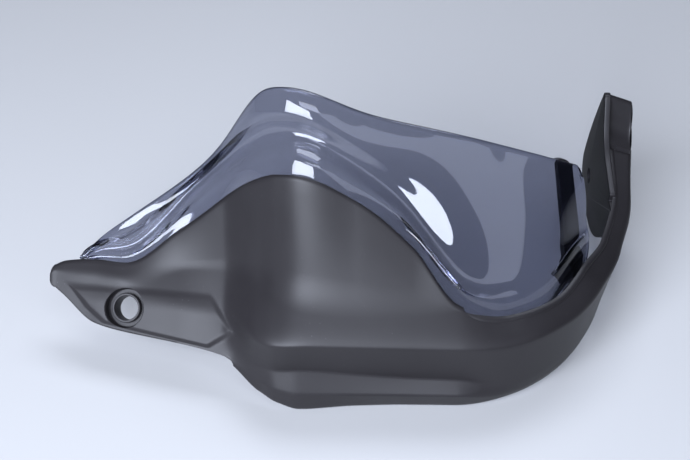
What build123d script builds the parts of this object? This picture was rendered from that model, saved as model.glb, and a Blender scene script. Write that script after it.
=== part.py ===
"""Motorcycle hand guard for the left grip, with a smoked wind screen.

Millimetres. The origin is the middle of the inner mounting bore, on the floor of its counterbore.
+X runs outboard along the guard, -Y is the front, which meets the wind, and +Z is up.
The body is one moulded shell: its wall follows a path that runs outboard and then bends
back to the bar end. A section across the path is given by six points on its outer face,
from the foot up: foot, strip, groove, ridge, crease and edge.
"""

import math
import os

from build123d import *

# Walls
wall = 3.0
screen_wall = 3.0
blade_wall = 3.2
rib_wall = 2.4
rib_stations = (92.0, 112.0, 132.0)

# Path of the beam and the arm, in plan, and where the hump peaks along it
beam_reach = 37.0
hump_x = 80.0
bend_start = 150.0
bend_radius = 80.0
bend_angle = 78.0
arm_length = 66.0

# Inner tab
tab_tip = 37.0
tab_lean = 42.5
tab_skew = 0.278
tab_drop = 14.0
tab_rise = 21.5
tab_face_rise = 8.5
tab_bevel = 1.5
tab_bevel_end = 3.9
tab_proud = 1.5

# Beam section, from the bore's height
foot_drop = 28.0
strip_drop = 17.0
groove_drop = 9.0
groove_depth = 5.0
ridge_rise = 13.0
crease_rise = 25.5
crease_back = 17.0

# Hump that backs the screen
hump_rise = 72.5
hump_back = 42.0

# Arm section, and the end wall at its tip
arm_width = 12.0
arm_drop = 12.0
arm_draft = 2.0
arm_crown = 4.5
arm_rise = 23.0
tip_rise = 33.0
end_wall = 3.2
end_wall_rise = 54.0
end_wall_fall = 5.0
end_wall_run = 12.0
scoop_depth = 5.5
scoop_lean = (0.6, 0.8)
scoop_thin = 0.7

# Blade on the inner side of the arm, inboard of the arm's tip, and the bar end flange behind the tip.
# The blade's reaches are measured forward from the flange.
blade_inset = 15.0
blade_reach = 55.0
blade_low_reach = 27.0
blade_low = 20.0
blade_nose = 4.0
blade_top_drop = 2.5
rim_reach = 48.0
rim_drop = 2.0
rim_proud = 1.6
scoop_reach = 19.0
flange_set = 14.0
flange_z = 0.0
flange_radius = 20.0
flange_shoulder = (11.0, 25.0)
bar_bore = 8.5
bar_boss = 22.0
bar_boss_depth = 3.0

# Inner mount
mount_bore = 11.0
mount_counterbore = 18.5
mount_counterbore_depth = 2.5
mount_boss = 26.0
mount_boss_depth = 10.0

# Wind screen
screen_gap = 1.5
tab_gap = 3.0
screen_rise = 98.0
screen_end_rise = 58.0
screen_back = 69.0
flange_depth = 20.0
shoulder_back = 12.0
shoulder_rise = 8.0
straight_share = 0.3
turn_share = (0.45, 0.8)
panel_bow = 2.0

# Lug of the body that stands behind the outer end of the screen
lug_width = 8.0
lug_gap = 2.0
lug_proud = 4.0
lug_round = 6.0
lug_reach = 16.0
lug_clearance = 3.0

# Screen fixings
fixing_stations = (44.0, 74.0, 104.0, 126.0)
fixing_depth = 12.0
seat_diameter = 13.0
seat_depth = 2.0
boss_diameter = 7.4
boss_clearance = 0.3
boss_short = 0.2
pad_diameter = 15.0
pad_depth = 5.0
pilot_depth = 8.0
screw_diameter = 4.0
screw_clearance = 0.05
screw_length = 9.0
head_diameter = 8.0
head_height = 2.6
drive_width = 3.6
drive_depth = 1.4
washer_diameter = 11.0
washer_wall = 1.0
washer_clearance = 0.2
spot_clearance = 0.5
spot_depth = 6.0


bend_length = bend_radius * math.radians(bend_angle)


def on_path(length):
    """Point of the path in plan and the outward direction there."""
    turn = min(max(length - bend_start, 0.0) / bend_radius, math.radians(bend_angle))
    past = max(length - bend_start - bend_length, 0.0)
    x = min(length, bend_start) + bend_radius * math.sin(turn) + past * math.cos(turn)
    y = -beam_reach + bend_radius * (1 - math.cos(turn)) + past * math.sin(turn)
    return (x, y), (math.sin(turn), -math.cos(turn))


def on_slope(share):
    """Path length at a share of the way from the hump's peak to the bend."""
    return hump_x + share * (bend_start - hump_x)


def on_bend(share):
    """Path length at a share of the bend."""
    return bend_start + share * bend_length


def on_arm(share):
    """Path length at a share of the straight arm."""
    return bend_start + bend_length + share * arm_length


def section_plane(length):
    """Upright plane across the path: its x axis points outward and its y axis up."""
    (x, y), (out_x, out_y) = on_path(length)
    return Plane(origin=(x, y, 0), x_dir=(out_x, out_y, 0), z_dir=(out_y, -out_x, 0))


def on_tab(x, climb, proud=0.0):
    """Outward offset and height of a point of the leaning tab, climb millimetres up its slope."""
    lean = math.radians(tab_lean)
    lift = proud + mount_counterbore_depth - tab_proud
    y = -tab_skew * x + climb * math.sin(lean) - lift * math.cos(lean)
    z = climb * math.cos(lean) + lift * math.sin(lean)
    return (-beam_reach - y, z)


def tab_section(x, low, face, top):
    """Tab section: lower edge, bevel, lower crease, upper crease, and the top edge."""
    return [
        on_tab(x, -low),
        on_tab(x, -low + tab_bevel),
        on_tab(x, -low + tab_bevel_end, tab_proud),
        on_tab(x, face, tab_proud),
        on_tab(x, top - tab_bevel),
        on_tab(x, top),
    ]


def tab_and_hump(x, low, crease, edge):
    """Tab section whose top edge is lifted into the flank of the hump."""
    return tab_section(x, low, tab_face_rise, tab_rise)[:4] + [crease, edge]


def neck_section(back, lift, groove, crease, edge):
    """Neck section: the beam set back, with its foot lifted and its groove fading, towards the tab."""
    return [
        (-back, lift - foot_drop),
        (-back, lift / 3 - strip_drop),
        (-back - groove, -groove_drop + 1),
        (1 - back, ridge_rise - lift / 2),
        crease,
        edge,
    ]


def beam_section(foot, fall, crease, edge):
    """Beam section: the foot's setback and the fall of the groove outboard, then crease and edge."""
    return [
        (-foot, -foot_drop),
        (0, -strip_drop),
        (-groove_depth, -groove_drop - fall),
        (0, ridge_rise - fall / 4),
        crease,
        edge,
    ]


def bend_section(foot, ridge, edge):
    """Section in the bend: foot, ridge and edge, with the groove fading into the strip."""
    return [
        foot,
        (foot[0] + 2, foot[1] + 5),
        (foot[0] + 2.5, foot[1] + 10),
        ridge,
        (edge[0] + 2, edge[1]),
        edge,
    ]


def arm_section(ridge_out, drop, rise):
    """Arm section: outer wall, and the top band that runs in to the blade."""
    return bend_section(
        (-arm_draft, -drop),
        (ridge_out, rise - arm_crown),
        (ridge_out - arm_width, rise),
    )


def hump_height(share):
    """Height at a share of the way from the crease to the top of the hump."""
    return crease_rise + share * (hump_rise - crease_rise)


slope_high = on_slope(0.36)
slope_low = on_slope(0.71)
stations = [
    (-tab_tip, tab_section(-tab_tip, -3, 9.6, 12)),
    (-30, tab_section(-30, 3.5, 8, 16.5)),
    (-15, tab_section(-15, tab_drop - 3, tab_face_rise, tab_rise - 1.5)),
    (0, tab_section(0, tab_drop, tab_face_rise, tab_rise)),
    (hump_x - 55, tab_and_hump(hump_x - 55, tab_drop + 0.5, (-48, 16), (-58, hump_height(0.1)))),
    (hump_x - 35, tab_and_hump(hump_x - 35, tab_drop + 1, (-45, 20), (-58, hump_height(0.47)))),
    (hump_x - 18, neck_section(12, 5.5, 2, (-crease_back - 17, crease_rise - 1), (-50, hump_height(0.84)))),
    (hump_x - 10, neck_section(5, 2, 4, (-crease_back - 10, crease_rise), (-46, hump_height(0.95)))),
    (hump_x, beam_section(0.5, -2, (-crease_back - 3, crease_rise + 1), (-hump_back, hump_rise))),
    (slope_high, beam_section(3, 0, (-crease_back, crease_rise), (4 - hump_back, hump_height(0.78)))),
    (slope_low, beam_section(4, 2, (1 - crease_back, crease_rise - 1.5), (-30, hump_height(0.39)))),
    (bend_start, beam_section(4, 3, (3 - crease_back, crease_rise - 4), (1 - crease_back, crease_rise - 2))),
    (on_bend(0.26), bend_section((-5, -26.5), (-1, ridge_rise - 2), (-15, 17))),
    (on_bend(0.51), bend_section((-6, -24), (-2, ridge_rise - 2), (-14, 17.5))),
    (on_bend(0.77), bend_section((-7, -20), (-2, ridge_rise), (-15, 21))),
    (on_bend(1.0), bend_section((-7, -16), (1, ridge_rise + 2), (-11, 21))),
    (on_arm(0.42), arm_section(4, arm_drop, arm_rise)),
    (on_arm(0.75), arm_section(2, arm_drop - 2, 0.4 * arm_rise + 0.6 * tip_rise)),
    (on_arm(1.0), arm_section(1, arm_drop - 4, tip_rise)),
]


def shifted(points, distance):
    """The same open line moved sideways, to the back of the wall, with mitred corners."""
    moved = []
    for place, (u, z) in enumerate(points):
        normals = []
        for a, b in ((place - 1, place), (place, place + 1)):
            if 0 <= a and b < len(points):
                du = points[b][0] - points[a][0]
                dz = points[b][1] - points[a][1]
                run = math.hypot(du, dz)
                normals.append((-dz / run, du / run))
        mean_u = sum(n[0] for n in normals) / len(normals)
        mean_z = sum(n[1] for n in normals) / len(normals)
        square = mean_u ** 2 + mean_z ** 2
        moved.append((u + distance * mean_u / square, z + distance * mean_z / square))
    return moved


def between(first, second, share):
    """Point at a share of the way from the first point to the second."""
    return tuple(a + share * (b - a) for a, b in zip(first, second))


def station_at(length):
    """Section points at any path length, from the two stations around it."""
    for (low, low_points), (high, high_points) in zip(stations, stations[1:]):
        if low <= length <= high:
            share = (length - low) / (high - low)
            return [between(a, b, share) for a, b in zip(low_points, high_points)]
    raise ValueError("the path has no station there")


def in_space(length, point):
    """Turn a section point into a point in space."""
    return section_plane(length).from_local_coords((point[0], point[1], 0))


# Axis of the inner mount: square to the leaning tab
tab_normal = Vector(-tab_skew * math.cos(math.radians(tab_lean)), -math.cos(math.radians(tab_lean)),
                    math.sin(math.radians(tab_lean))).normalized()
mount_plane = Plane(origin=tab_normal * mount_counterbore_depth, z_dir=tab_normal)


def on_hump(length):
    """Point on the outer face of the hump, fixing_depth below its edge, and the way up to the edge."""
    crease, edge = station_at(length)[4:]
    run = math.dist(crease, edge)
    spot = in_space(length, between(edge, crease, fixing_depth / run))
    return spot, (in_space(length, edge) - spot).normalized()


def fixing_plane(length):
    """Plane at a screen fixing: on the inner face of the hump, its z axis pointing to the back."""
    spot, up = on_hump(length)
    along = on_hump(length + fixing_depth)[0] - on_hump(length - fixing_depth)[0]
    back = up.cross(along).normalized()
    return Plane(origin=spot + back * wall, z_dir=back)


fixing_planes = [fixing_plane(length) for length in fixing_stations]
pad_end = seat_depth + pad_depth
boss_end = pad_end - boss_short
washer_end = pad_end + washer_wall

# Places along the blade, from the tip of the arm
arm_tip_x, arm_tip_y = on_path(on_arm(1.0))[0]
blade_x = arm_tip_x - blade_inset
flange_y = arm_tip_y + flange_set
blade_start = flange_y - blade_reach
rim_start = flange_y - rim_reach
scoop_y = flange_y - scoop_reach
end_y = scoop_y + end_wall_run


def scoop(low, top, behind):
    """Hollow arc up the end wall: its front face, or its rear face one wall behind."""
    middle_y = scoop_y + end_wall_run / 2 + scoop_lean[0] * scoop_depth + scoop_thin * behind
    middle_z = (low + top) / 2 - scoop_lean[1] * scoop_depth
    return ThreePointArc((scoop_y, low), (middle_y, middle_z), (end_y + behind, top))


def screen_section(length, below, flange, roll, rise, top_x, top_y, top_z):
    """Plane and front line of the screen: flange, rolled shoulder, panel and top edge.

    The flange follows the body's wall below its edge, from the section point that is
    numbered by below, or hangs upright where below is None. Roll and rise are the shares
    of the shoulder's full depth and height.
    """
    points = station_at(length)
    edge = points[5]
    if below is None:
        up = (0.0, 1.0)
        behind = screen_gap
    else:
        run = math.dist(points[below], edge)
        up = ((edge[0] - points[below][0]) / run, (edge[1] - points[below][1]) / run)
        behind = wall + (tab_gap if below == 3 else screen_gap)
    foot = (edge[0] - behind * up[1], edge[1] + behind * up[0])
    base = in_space(length, foot)
    away = Vector(top_x - base.X, top_y - base.Y, 0)
    out = away.normalized() * -1
    plane = Plane(origin=(base.X, base.Y, 0), x_dir=out, z_dir=(out.Y, -out.X, 0))
    low = foot[1]
    back = roll * shoulder_back
    step = rise * shoulder_rise
    lip = (-back, low + step)
    top_edge = (-away.length, top_z)
    middle = between(lip, top_edge, 0.5)
    straight = straight_share * step
    front = [
        (-flange * up[0], low - flange * up[1]),
        (straight * up[0], low + straight * up[1]),
        (-turn_share[0] * back, low + turn_share[1] * step),
        lip,
        (middle[0] + roll * panel_bow, middle[1]),
        top_edge,
    ]
    return plane, front


def screen_height(share):
    """Height of the top edge, from the screen's outer end to its peak."""
    return screen_end_rise + share * (screen_rise - screen_end_rise)


def beside(share):
    """Place of the top edge along X beside the bend, at a share of the bend's radius."""
    return bend_start + share * bend_radius


screen_y = screen_back - beam_reach
tail_y = screen_y - 4
lug_y = screen_y - 2
tail_flange = flange_depth - 8
screen_sections = [
    screen_section(-17, 3, 2, 0.25, 0.3, -17, screen_y - 6, screen_height(-1.05)),
    screen_section(0, 3, 3.5, 0.5, 0.6, 0, screen_y - 4.5, screen_height(-0.72)),
    screen_section(hump_x - 55, 4, 13, 0.8, 0.9, hump_x - 55, screen_y + 8, screen_height(-0.375)),
    screen_section(hump_x - 35, 4, flange_depth, 1, 1, hump_x - 35, screen_y + 11, screen_height(0.16)),
    screen_section(hump_x - 18, 4, flange_depth, 1, 1, hump_x - 18, screen_y + 6, screen_height(0.86)),
    screen_section(hump_x - 10, 4, flange_depth, 1, 1, hump_x - 10, screen_y + 2.5, screen_height(0.98)),
    screen_section(hump_x, 4, flange_depth, 1, 1, hump_x, screen_y, screen_height(1.0)),
    screen_section(slope_high, 4, flange_depth, 0.8, 0.9, slope_high, screen_y - 2, screen_height(0.77)),
    screen_section(slope_low, 4, flange_depth - 4, 0.7, 1, slope_low, screen_y - 3, screen_height(0.6)),
    screen_section(bend_start, 4, tail_flange, 0.6, 1.2, bend_start, tail_y, screen_height(0.49)),
    screen_section(on_bend(0.26), None, tail_flange, 0.5, 1.2, beside(0.25), tail_y, screen_height(0.35)),
    screen_section(on_bend(0.51), None, tail_flange, 0.4, 1.2, beside(0.45), tail_y, screen_height(0.23)),
    screen_section(on_bend(0.77), None, tail_flange, 0.3, 1.2, beside(0.62), lug_y, screen_height(0.09)),
    screen_section(on_bend(0.92), None, tail_flange, 0.2, 1.2, beside(0.71), screen_y, screen_height(0)),
]

# Front line of the lug: a foot that leaves the bend's wall under the screen, then up its back
lug_plane, lug_points = screen_section(
    on_bend(0.85), None, tail_flange, 0.25, 1.2, beside(0.67), screen_y - 1, screen_height(0.05)
)
flange_foot, lip, top_edge = lug_points[0], lug_points[3], lug_points[5]
lug_top = between(lip, top_edge, 1 + lug_proud / math.dist(lip, top_edge))
upright = shifted([flange_foot, lip, lug_top], screen_wall + lug_gap)
lug_floor = flange_foot[1] - lug_clearance
lug_line = [(lug_reach, lug_floor), (upright[0][0], lug_floor)] + upright[1:]

os.makedirs("parts", exist_ok=True)

# Lug, rounded at its outboard corner, which joins the body below
with BuildPart() as screen_lug:
    with BuildSketch(lug_plane):
        with BuildLine():
            Polyline(*lug_line, *reversed(shifted(lug_line, wall)), close=True)
        make_face()
    extrude(amount=lug_width)
    top_edges = screen_lug.faces().sort_by(Axis.Z)[-1].edges()
    fillet(top_edges.sort_by(SortBy.LENGTH)[:2].sort_by(Axis.X)[-1], lug_round)

# Guard body
with BuildPart() as guard_body:
    for length, points in stations:
        with BuildSketch(section_plane(length)):
            with BuildLine():
                Polyline(*points, *reversed(shifted(points, wall)), close=True)
            make_face()
    loft()

    # Webs across the hollow of the beam
    for length in rib_stations:
        with BuildSketch(section_plane(length)):
            with BuildLine():
                Polyline(*shifted(station_at(length), wall / 2)[:5], close=True)
            make_face()
        extrude(amount=rib_wall / 2, both=True)

    # Blade with the bar end flange
    with BuildSketch(Plane.YZ.offset(blade_x)):
        with BuildLine():
            Polyline(
                (flange_y, flange_z - flange_radius),
                (flange_y - blade_low_reach, -blade_low),
                (blade_start, blade_nose),
                (blade_start, arm_rise - blade_top_drop),
                (rim_start, arm_rise - rim_drop),
                (rim_start, arm_rise + rim_proud),
                (scoop_y, tip_rise),
                (end_y, end_wall_rise),
                (end_y + end_wall, end_wall_rise),
            )
            ThreePointArc(
                (end_y + end_wall, end_wall_rise),
                (flange_y + flange_shoulder[0], flange_z + flange_shoulder[1]),
                (flange_y + flange_radius, flange_z),
            )
            Line((flange_y + flange_radius, flange_z), (flange_y, flange_z - flange_radius))
        make_face()
        with Locations((flange_y, flange_z)):
            Circle(flange_radius)
    extrude(amount=blade_wall)

    # End wall, scooped on its front, from the blade out to the arm's outer wall
    for across, fall in ((blade_wall / 2, 0), (arm_width + blade_wall, end_wall_fall)):
        top = end_wall_rise - fall
        low = tip_rise - end_wall / 2 - fall
        with BuildSketch(Plane.YZ.offset(blade_x + across)):
            with BuildLine():
                Line((scoop_y, low), (scoop_y, low + end_wall))
                scoop(low + end_wall, top, 0)
                Line((end_y, top), (end_y + end_wall, top))
                scoop(low, top, end_wall)
            make_face()
    loft()

    add(screen_lug.part)

    # Boss round the bar end bore
    with BuildSketch(Plane.YZ.offset(blade_x + blade_wall)):
        with Locations((flange_y, flange_z)):
            Circle(bar_boss / 2)
    extrude(amount=bar_boss_depth)

    # Boss behind the tab, from the counterbore's floor
    with BuildSketch(mount_plane.offset(-mount_counterbore_depth)):
        Circle(mount_boss / 2)
    extrude(amount=mount_counterbore_depth - mount_boss_depth)

    # Seats and bosses for the screen
    for plane in fixing_planes:
        with BuildSketch(plane.offset(-wall / 2)):
            Circle(seat_diameter / 2)
        extrude(amount=wall / 2 + seat_depth)
        with BuildSketch(plane):
            Circle(boss_diameter / 2)
        extrude(amount=boss_end)

    # Bores
    with Locations(mount_plane.location):
        CounterBoreHole(mount_bore / 2, mount_counterbore / 2, mount_counterbore_depth, mount_boss_depth)
    with Locations(Plane(origin=(blade_x, flange_y, flange_z), z_dir=(-1, 0, 0)).location):
        Hole(bar_bore / 2, blade_wall + bar_boss_depth)
    for plane in fixing_planes:
        with Locations(plane.offset(boss_end).location):
            Hole(screw_diameter / 2 + screw_clearance, pilot_depth)

guard_body.part.label = "guard_body"
export_step(guard_body.part, "parts/guard_body.step")

# Wind screen
with BuildPart() as wind_screen:
    for plane, points in screen_sections:
        with BuildSketch(plane):
            with BuildLine():
                front = Spline(*points)
                back = Spline(*shifted(points, screen_wall))
                Line(front @ 0, back @ 0)
                Line(front @ 1, back @ 1)
            make_face()
    loft()

    # Pads that the washers press on
    for plane in fixing_planes:
        with BuildSketch(plane.offset(seat_depth)):
            Circle(pad_diameter / 2)
        extrude(amount=pad_depth)

    # Room for the body's seats and bosses, and for the washers
    for plane in fixing_planes:
        with BuildSketch(plane.offset(pad_end)):
            Circle(washer_diameter / 2 + spot_clearance)
        extrude(amount=spot_depth, mode=Mode.SUBTRACT)
        with BuildSketch(plane.offset(-seat_diameter)):
            Circle(seat_diameter / 2 + boss_clearance)
        extrude(amount=seat_diameter + seat_depth, mode=Mode.SUBTRACT)
        with BuildSketch(plane):
            Circle(boss_diameter / 2 + boss_clearance)
        extrude(amount=pad_end, mode=Mode.SUBTRACT)

wind_screen.part.label = "wind_screen"
export_step(wind_screen.part, "parts/wind_screen.step")

# Washers
with BuildPart() as screen_washers:
    for plane in fixing_planes:
        with BuildSketch(plane.offset(pad_end)):
            Circle(washer_diameter / 2)
            Circle(screw_diameter / 2 + washer_clearance, mode=Mode.SUBTRACT)
        extrude(amount=washer_wall)

screen_washers.part.label = "screen_washers"
export_step(screen_washers.part, "parts/screen_washers.step")

# Pan head screws
with BuildPart() as screen_screws:
    for plane in fixing_planes:
        with BuildSketch(plane.offset(washer_end)):
            Circle(head_diameter / 2)
        extrude(amount=head_height)
        with BuildSketch(plane.offset(washer_end)):
            Circle(screw_diameter / 2)
        extrude(amount=-screw_length)
    for plane in fixing_planes:
        with BuildSketch(plane.offset(washer_end + head_height)):
            RegularPolygon(drive_width / 2, 6)
        extrude(amount=-drive_depth, mode=Mode.SUBTRACT)

screen_screws.part.label = "screen_screws"
export_step(screen_screws.part, "parts/screen_screws.step")
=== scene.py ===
"""Looks of the motorcycle hand guard: its moulded shell, smoked wind screen and plated fixings.

Lengths in this script are millimetres in the guard's own frame: the origin is the inner mounting
bore, +X runs outboard, -Y is the front and +Z is up. Every mesh is turned into metres as it is made.
"""
import math

import bmesh
import bpy
import numpy as np
from mathutils import Matrix, Vector


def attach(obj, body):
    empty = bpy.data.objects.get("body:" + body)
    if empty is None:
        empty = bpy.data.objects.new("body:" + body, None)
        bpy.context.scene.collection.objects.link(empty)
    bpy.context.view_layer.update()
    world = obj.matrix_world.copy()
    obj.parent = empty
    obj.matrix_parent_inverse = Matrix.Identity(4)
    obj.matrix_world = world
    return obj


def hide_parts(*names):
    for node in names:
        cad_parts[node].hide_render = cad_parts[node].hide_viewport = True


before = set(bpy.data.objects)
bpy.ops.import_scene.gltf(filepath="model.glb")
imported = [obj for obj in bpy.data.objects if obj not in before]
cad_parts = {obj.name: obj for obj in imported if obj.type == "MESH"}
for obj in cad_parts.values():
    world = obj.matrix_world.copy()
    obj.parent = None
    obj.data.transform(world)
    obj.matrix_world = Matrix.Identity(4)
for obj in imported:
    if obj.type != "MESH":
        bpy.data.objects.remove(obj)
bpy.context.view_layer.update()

METRES = 0.001

# Path of the beam and the arm in plan, and where the hump peaks along it
BEAM_REACH = 37.0
HUMP_X = 80.0
BEND_START = 150.0
BEND_RADIUS = 80.0
BEND_TURN = math.radians(78.0)
BEND_LENGTH = BEND_RADIUS * BEND_TURN
ARM_LENGTH = 66.0

# Shell section
WALL = 3.0
FOOT_DROP = 28.0
STRIP_DROP = 17.0
GROOVE_DROP = 9.0
GROOVE_DEPTH = 5.0
RIDGE_RISE = 13.0
CREASE_RISE = 25.5
CREASE_BACK = 17.0
HUMP_RISE = 72.5
HUMP_BACK = 42.0
HUMP_SOFT = 5.0
EDGE_ROLL = 2.4
NOSE = 3.0
# Shares by which the corner radii of the beam shrink below the ridge and grow above it
CORNER_TIGHT = 0.6
RIDGE_NOSE = 1.6

# Inner tab and its counterbored mount
TAB_TIP = 37.0
TAB_LEAN = math.radians(42.5)
TAB_SKEW = 0.278
TAB_DROP = 12.8
TAB_RISE = 21.5
TAB_FACE_RISE = 8.5
TAB_BEVEL = 1.5
TAB_BEVEL_END = 3.9
TAB_ROLL_START = 0.35
TAB_ROLL = 0.22
TAB_PROUD = 1.5
MOUNT_BORE = 11.0
MOUNT_COUNTERBORE = 18.5
MOUNT_DEPTH = 2.5
MOUNT_BOSS = 21.6
MOUNT_BOSS_DEPTH = 10.0
MOUNT_COLLAR = 13.7
MOUNT_RING_DEPTH = 2.4
HOLE_BREAK = 0.7

# Arm, end wall, blade and bar end flange
ARM_WIDTH = 12.0
ARM_DROP = 12.0
ARM_DRAFT = 2.0
ARM_CROWN = 4.5
ARM_RISE = 23.0
TIP_RISE = 33.0
END_WALL = 3.2
END_WALL_RISE = 54.0
END_WALL_FALL = 5.0
END_WALL_RUN = 12.0
END_NOSE = 1.2
SCOOP_DEPTH = 5.5
# Direction in Y and Z in which the end wall is hollowed
SCOOP_WAY = (0.6, -0.8)
BLADE_WALL = 3.2
BLADE_INSET = 15.0
BLADE_REACH = 55.0
BLADE_LOW_REACH = 27.0
BLADE_LOW = 20.0
RIM_REACH = 48.0
RIM_PROUD = 1.6
SCOOP_REACH = 19.0
FLANGE_SET = 14.0
FLANGE_RADIUS = 20.0
FLANGE_SHOULDER = np.array((11.0, 25.0))
BAR_BORE = 8.5
BAR_BOSS = 22.0
BAR_BOSS_DEPTH = 3.0

# Ribs in the beam, and the lug behind the outer end of the screen
RIB_WALL = 2.4
RIB_STATIONS = (92.0, 112.0, 132.0)
RIB_CORNER = 1.0
LUG_WIDTH = 8.0
LUG_GAP = 2.0
LUG_PROUD = 4.0
LUG_ROUND = 6.0
LUG_REACH = 16.0
LUG_CLEARANCE = 3.0
LUG_BENDS = (4.0, 6.0)
LUG_NOSE = 0.6

# Wind screen
SCREEN_WALL = 3.0
SCREEN_GAP = 1.5
TAB_GAP = 3.0
SCREEN_RISE = 98.0
SCREEN_END_RISE = 58.0
SCREEN_Y = 32.0
FLANGE_DEPTH = 20.0
TAIL_FLANGE = 12.0
SHOULDER_BACK = 12.0
SHOULDER_RISE = 8.0
PANEL_BOW = 2.0
SCREEN_CORNER = 5.0
SCREEN_CORNER_DROP = 0.09
SCREEN_ROWS = 240
# Shares of the way up the screen of its six section points, and where the corner's drop begins
SCREEN_MARKS = np.array((0.0, 0.28, 0.36, 0.44, 0.72, 1.0))
SCREEN_COLUMNS = 72
SCREEN_DROP_START = 0.6

# Screen fixings
FIXING_STATIONS = (44.0, 74.0, 104.0, 126.0)
FIXING_DEPTH = 12.0
SEAT_DIAMETER = 13.0
SEAT_DEPTH = 2.0
BOSS_DIAMETER = 7.4
BOSS_CLEARANCE = 0.3
PAD_DIAMETER = 15.0
PAD_DEPTH = 5.0
SPOT_DIAMETER = 12.0
SPOT_DEPTH = 6.0
PILOT_DIAMETER = 4.1
PILOT_DEPTH = 8.0
BOSS_EDGE = 0.3
# How far a cutter runs on past the faces that it opens
CUT_PAST = 20.0


# Lines and curves

def unit(vectors):
    """Vectors drawn to length one."""
    return vectors / np.linalg.norm(vectors, axis=-1, keepdims=True)


def parabola(first, control, last, share):
    """Points at shares of the parabola from first to last that leaves both towards the control point."""
    return (1 - share) ** 2 * first + 2 * share * (1 - share) * control + share ** 2 * last


def through_middle(first, middle, last, steps):
    """Parabola from the first point to the last through the middle one."""
    first, middle, last = (np.asarray(point, float) for point in (first, middle, last))
    return parabola(first, 2 * middle - (first + last) / 2, last, np.linspace(0, 1, steps)[:, None])


def interval(knots, at):
    """Number of the interval between knots that holds each place, the end ones holding what lies outside."""
    return np.clip(np.searchsorted(knots, at) - 1, 0, len(knots) - 2)


def steady_through(knots, values, at):
    """Cubic Hermite curve through the values that never overshoots.

    The slope at a knot is the weighted harmonic mean of the slopes on its two sides, and
    nought where those have opposite signs.
    """
    flat = values.reshape(len(knots), -1)
    step = np.diff(knots)[:, None]
    rise = np.diff(flat, axis=0) / step
    agree = rise[:-1] * rise[1:] > 0
    before = np.where(agree, rise[:-1], 1.0)
    after = np.where(agree, rise[1:], 1.0)
    weight_before = 2 * step[1:] + step[:-1]
    weight_after = step[1:] + 2 * step[:-1]
    mean = (weight_before + weight_after) / (weight_before / before + weight_after / after)
    slope = np.concatenate([rise[:1], np.where(agree, mean, 0.0), rise[-1:]])
    place = interval(knots, at)
    share = ((at - knots[place]) / step[place, 0])[:, None]
    run = step[place]
    result = (
        (1 + 2 * share) * (1 - share) ** 2 * flat[place]
        + share * (1 - share) ** 2 * run * slope[place]
        + share ** 2 * (3 - 2 * share) * flat[place + 1]
        - share ** 2 * (1 - share) * run * slope[place + 1]
    )
    return result.reshape((len(at),) + values.shape[1:])


def smooth_through(knots, values, at):
    """Natural cubic spline through the values: its curvature is continuous, and nought at both ends."""
    flat = values.reshape(len(knots), -1)
    step = np.diff(knots)
    inner = np.arange(1, len(knots) - 1)
    system = np.eye(len(knots))
    system[inner, inner - 1] = step[:-1]
    system[inner, inner] = 2 * (step[:-1] + step[1:])
    system[inner, inner + 1] = step[1:]
    right = np.zeros_like(flat)
    right[inner] = 6 * np.diff(np.diff(flat, axis=0) / step[:, None], axis=0)
    bend = np.linalg.solve(system, right)
    place = interval(knots, at)
    run = step[place][:, None]
    low = (knots[place + 1] - at)[:, None] / run
    high = 1 - low
    result = (
        low * flat[place] + high * flat[place + 1]
        + ((low ** 3 - low) * bend[place] + (high ** 3 - high) * bend[place + 1]) * run ** 2 / 6
    )
    return result.reshape((len(at),) + values.shape[1:])


CORNER_SHARE = 0.45
EDGE_STEPS = 7


def corner_arcs(points, before, after, steps):
    """Parabolas in place of the inner corners of rows of lines, and the points where they start and end.

    Each parabola leaves its corner's two sides a radius away from the corner, or at
    CORNER_SHARE of the side where that is less.
    """
    side = np.diff(points, axis=1)
    most = CORNER_SHARE * np.linalg.norm(side, axis=2)
    way = unit(side)
    corner = points[:, 1:-1]
    enter = corner - way[:, :-1] * np.minimum(before, most[:, :-1])[..., None]
    leave = corner + way[:, 1:] * np.minimum(after, most[:, 1:])[..., None]
    share = np.linspace(0, 1, steps)[None, None, :, None]
    arcs = parabola(enter[:, :, None], corner[:, :, None], leave[:, :, None], share)
    return enter, leave, arcs


def rounded_line(points, radii, corner_steps=9, straight_steps=5):
    """Rows of open lines with parabolas in place of their inner corners.

    Points are (rows, corners, 2), radii hold one number for a corner or one for each of its
    sides, and straight_steps is the count of points on a straight, or one count for each.
    """
    radii = np.asarray(radii, float)
    before, after = (radii, radii) if radii.ndim < 3 else (radii[..., 0], radii[..., 1])
    enter, leave, arcs = corner_arcs(points, before, after, corner_steps)
    starts = np.concatenate([points[:, :1], leave], axis=1)[:, :, None]
    ends = np.concatenate([enter, points[:, -1:]], axis=1)[:, :, None]
    pieces = [points[:, :1]]
    for place, steps in enumerate(np.broadcast_to(straight_steps, starts.shape[1])):
        share = (np.arange(1, steps + 1) / (steps + 1))[None, :, None]
        pieces.append(starts[:, place] + share * (ends - starts)[:, place])
        pieces.append(arcs[:, place] if place < arcs.shape[1] else points[:, -1:])
    return np.concatenate(pieces, axis=1)


def rounded_outline(points, radius):
    """Closed outline with parabolas in place of its corners."""
    around = np.concatenate([points[-1:], points, points[:1]])[None]
    return corner_arcs(around, radius, radius, EDGE_STEPS)[2].reshape(-1, 2)


def shifted(points, distance):
    """Rows of open lines moved sideways to the back of the wall, with mitred corners."""
    side = np.diff(points, axis=1)
    normal = unit(np.stack([-side[..., 1], side[..., 0]], axis=2))
    mean = np.concatenate([normal[:, :1], (normal[:, :-1] + normal[:, 1:]) / 2, normal[:, -1:]], axis=1)
    return points + distance * mean / (mean ** 2).sum(axis=2)[..., None]


def trimmed(points, cut):
    """Rows of open lines with both ends drawn back by the cut."""
    points = points.copy()
    for end, inner in ((0, 1), (-1, -2)):
        points[:, end] += cut * unit(points[:, inner] - points[:, end])
    return points


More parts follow.
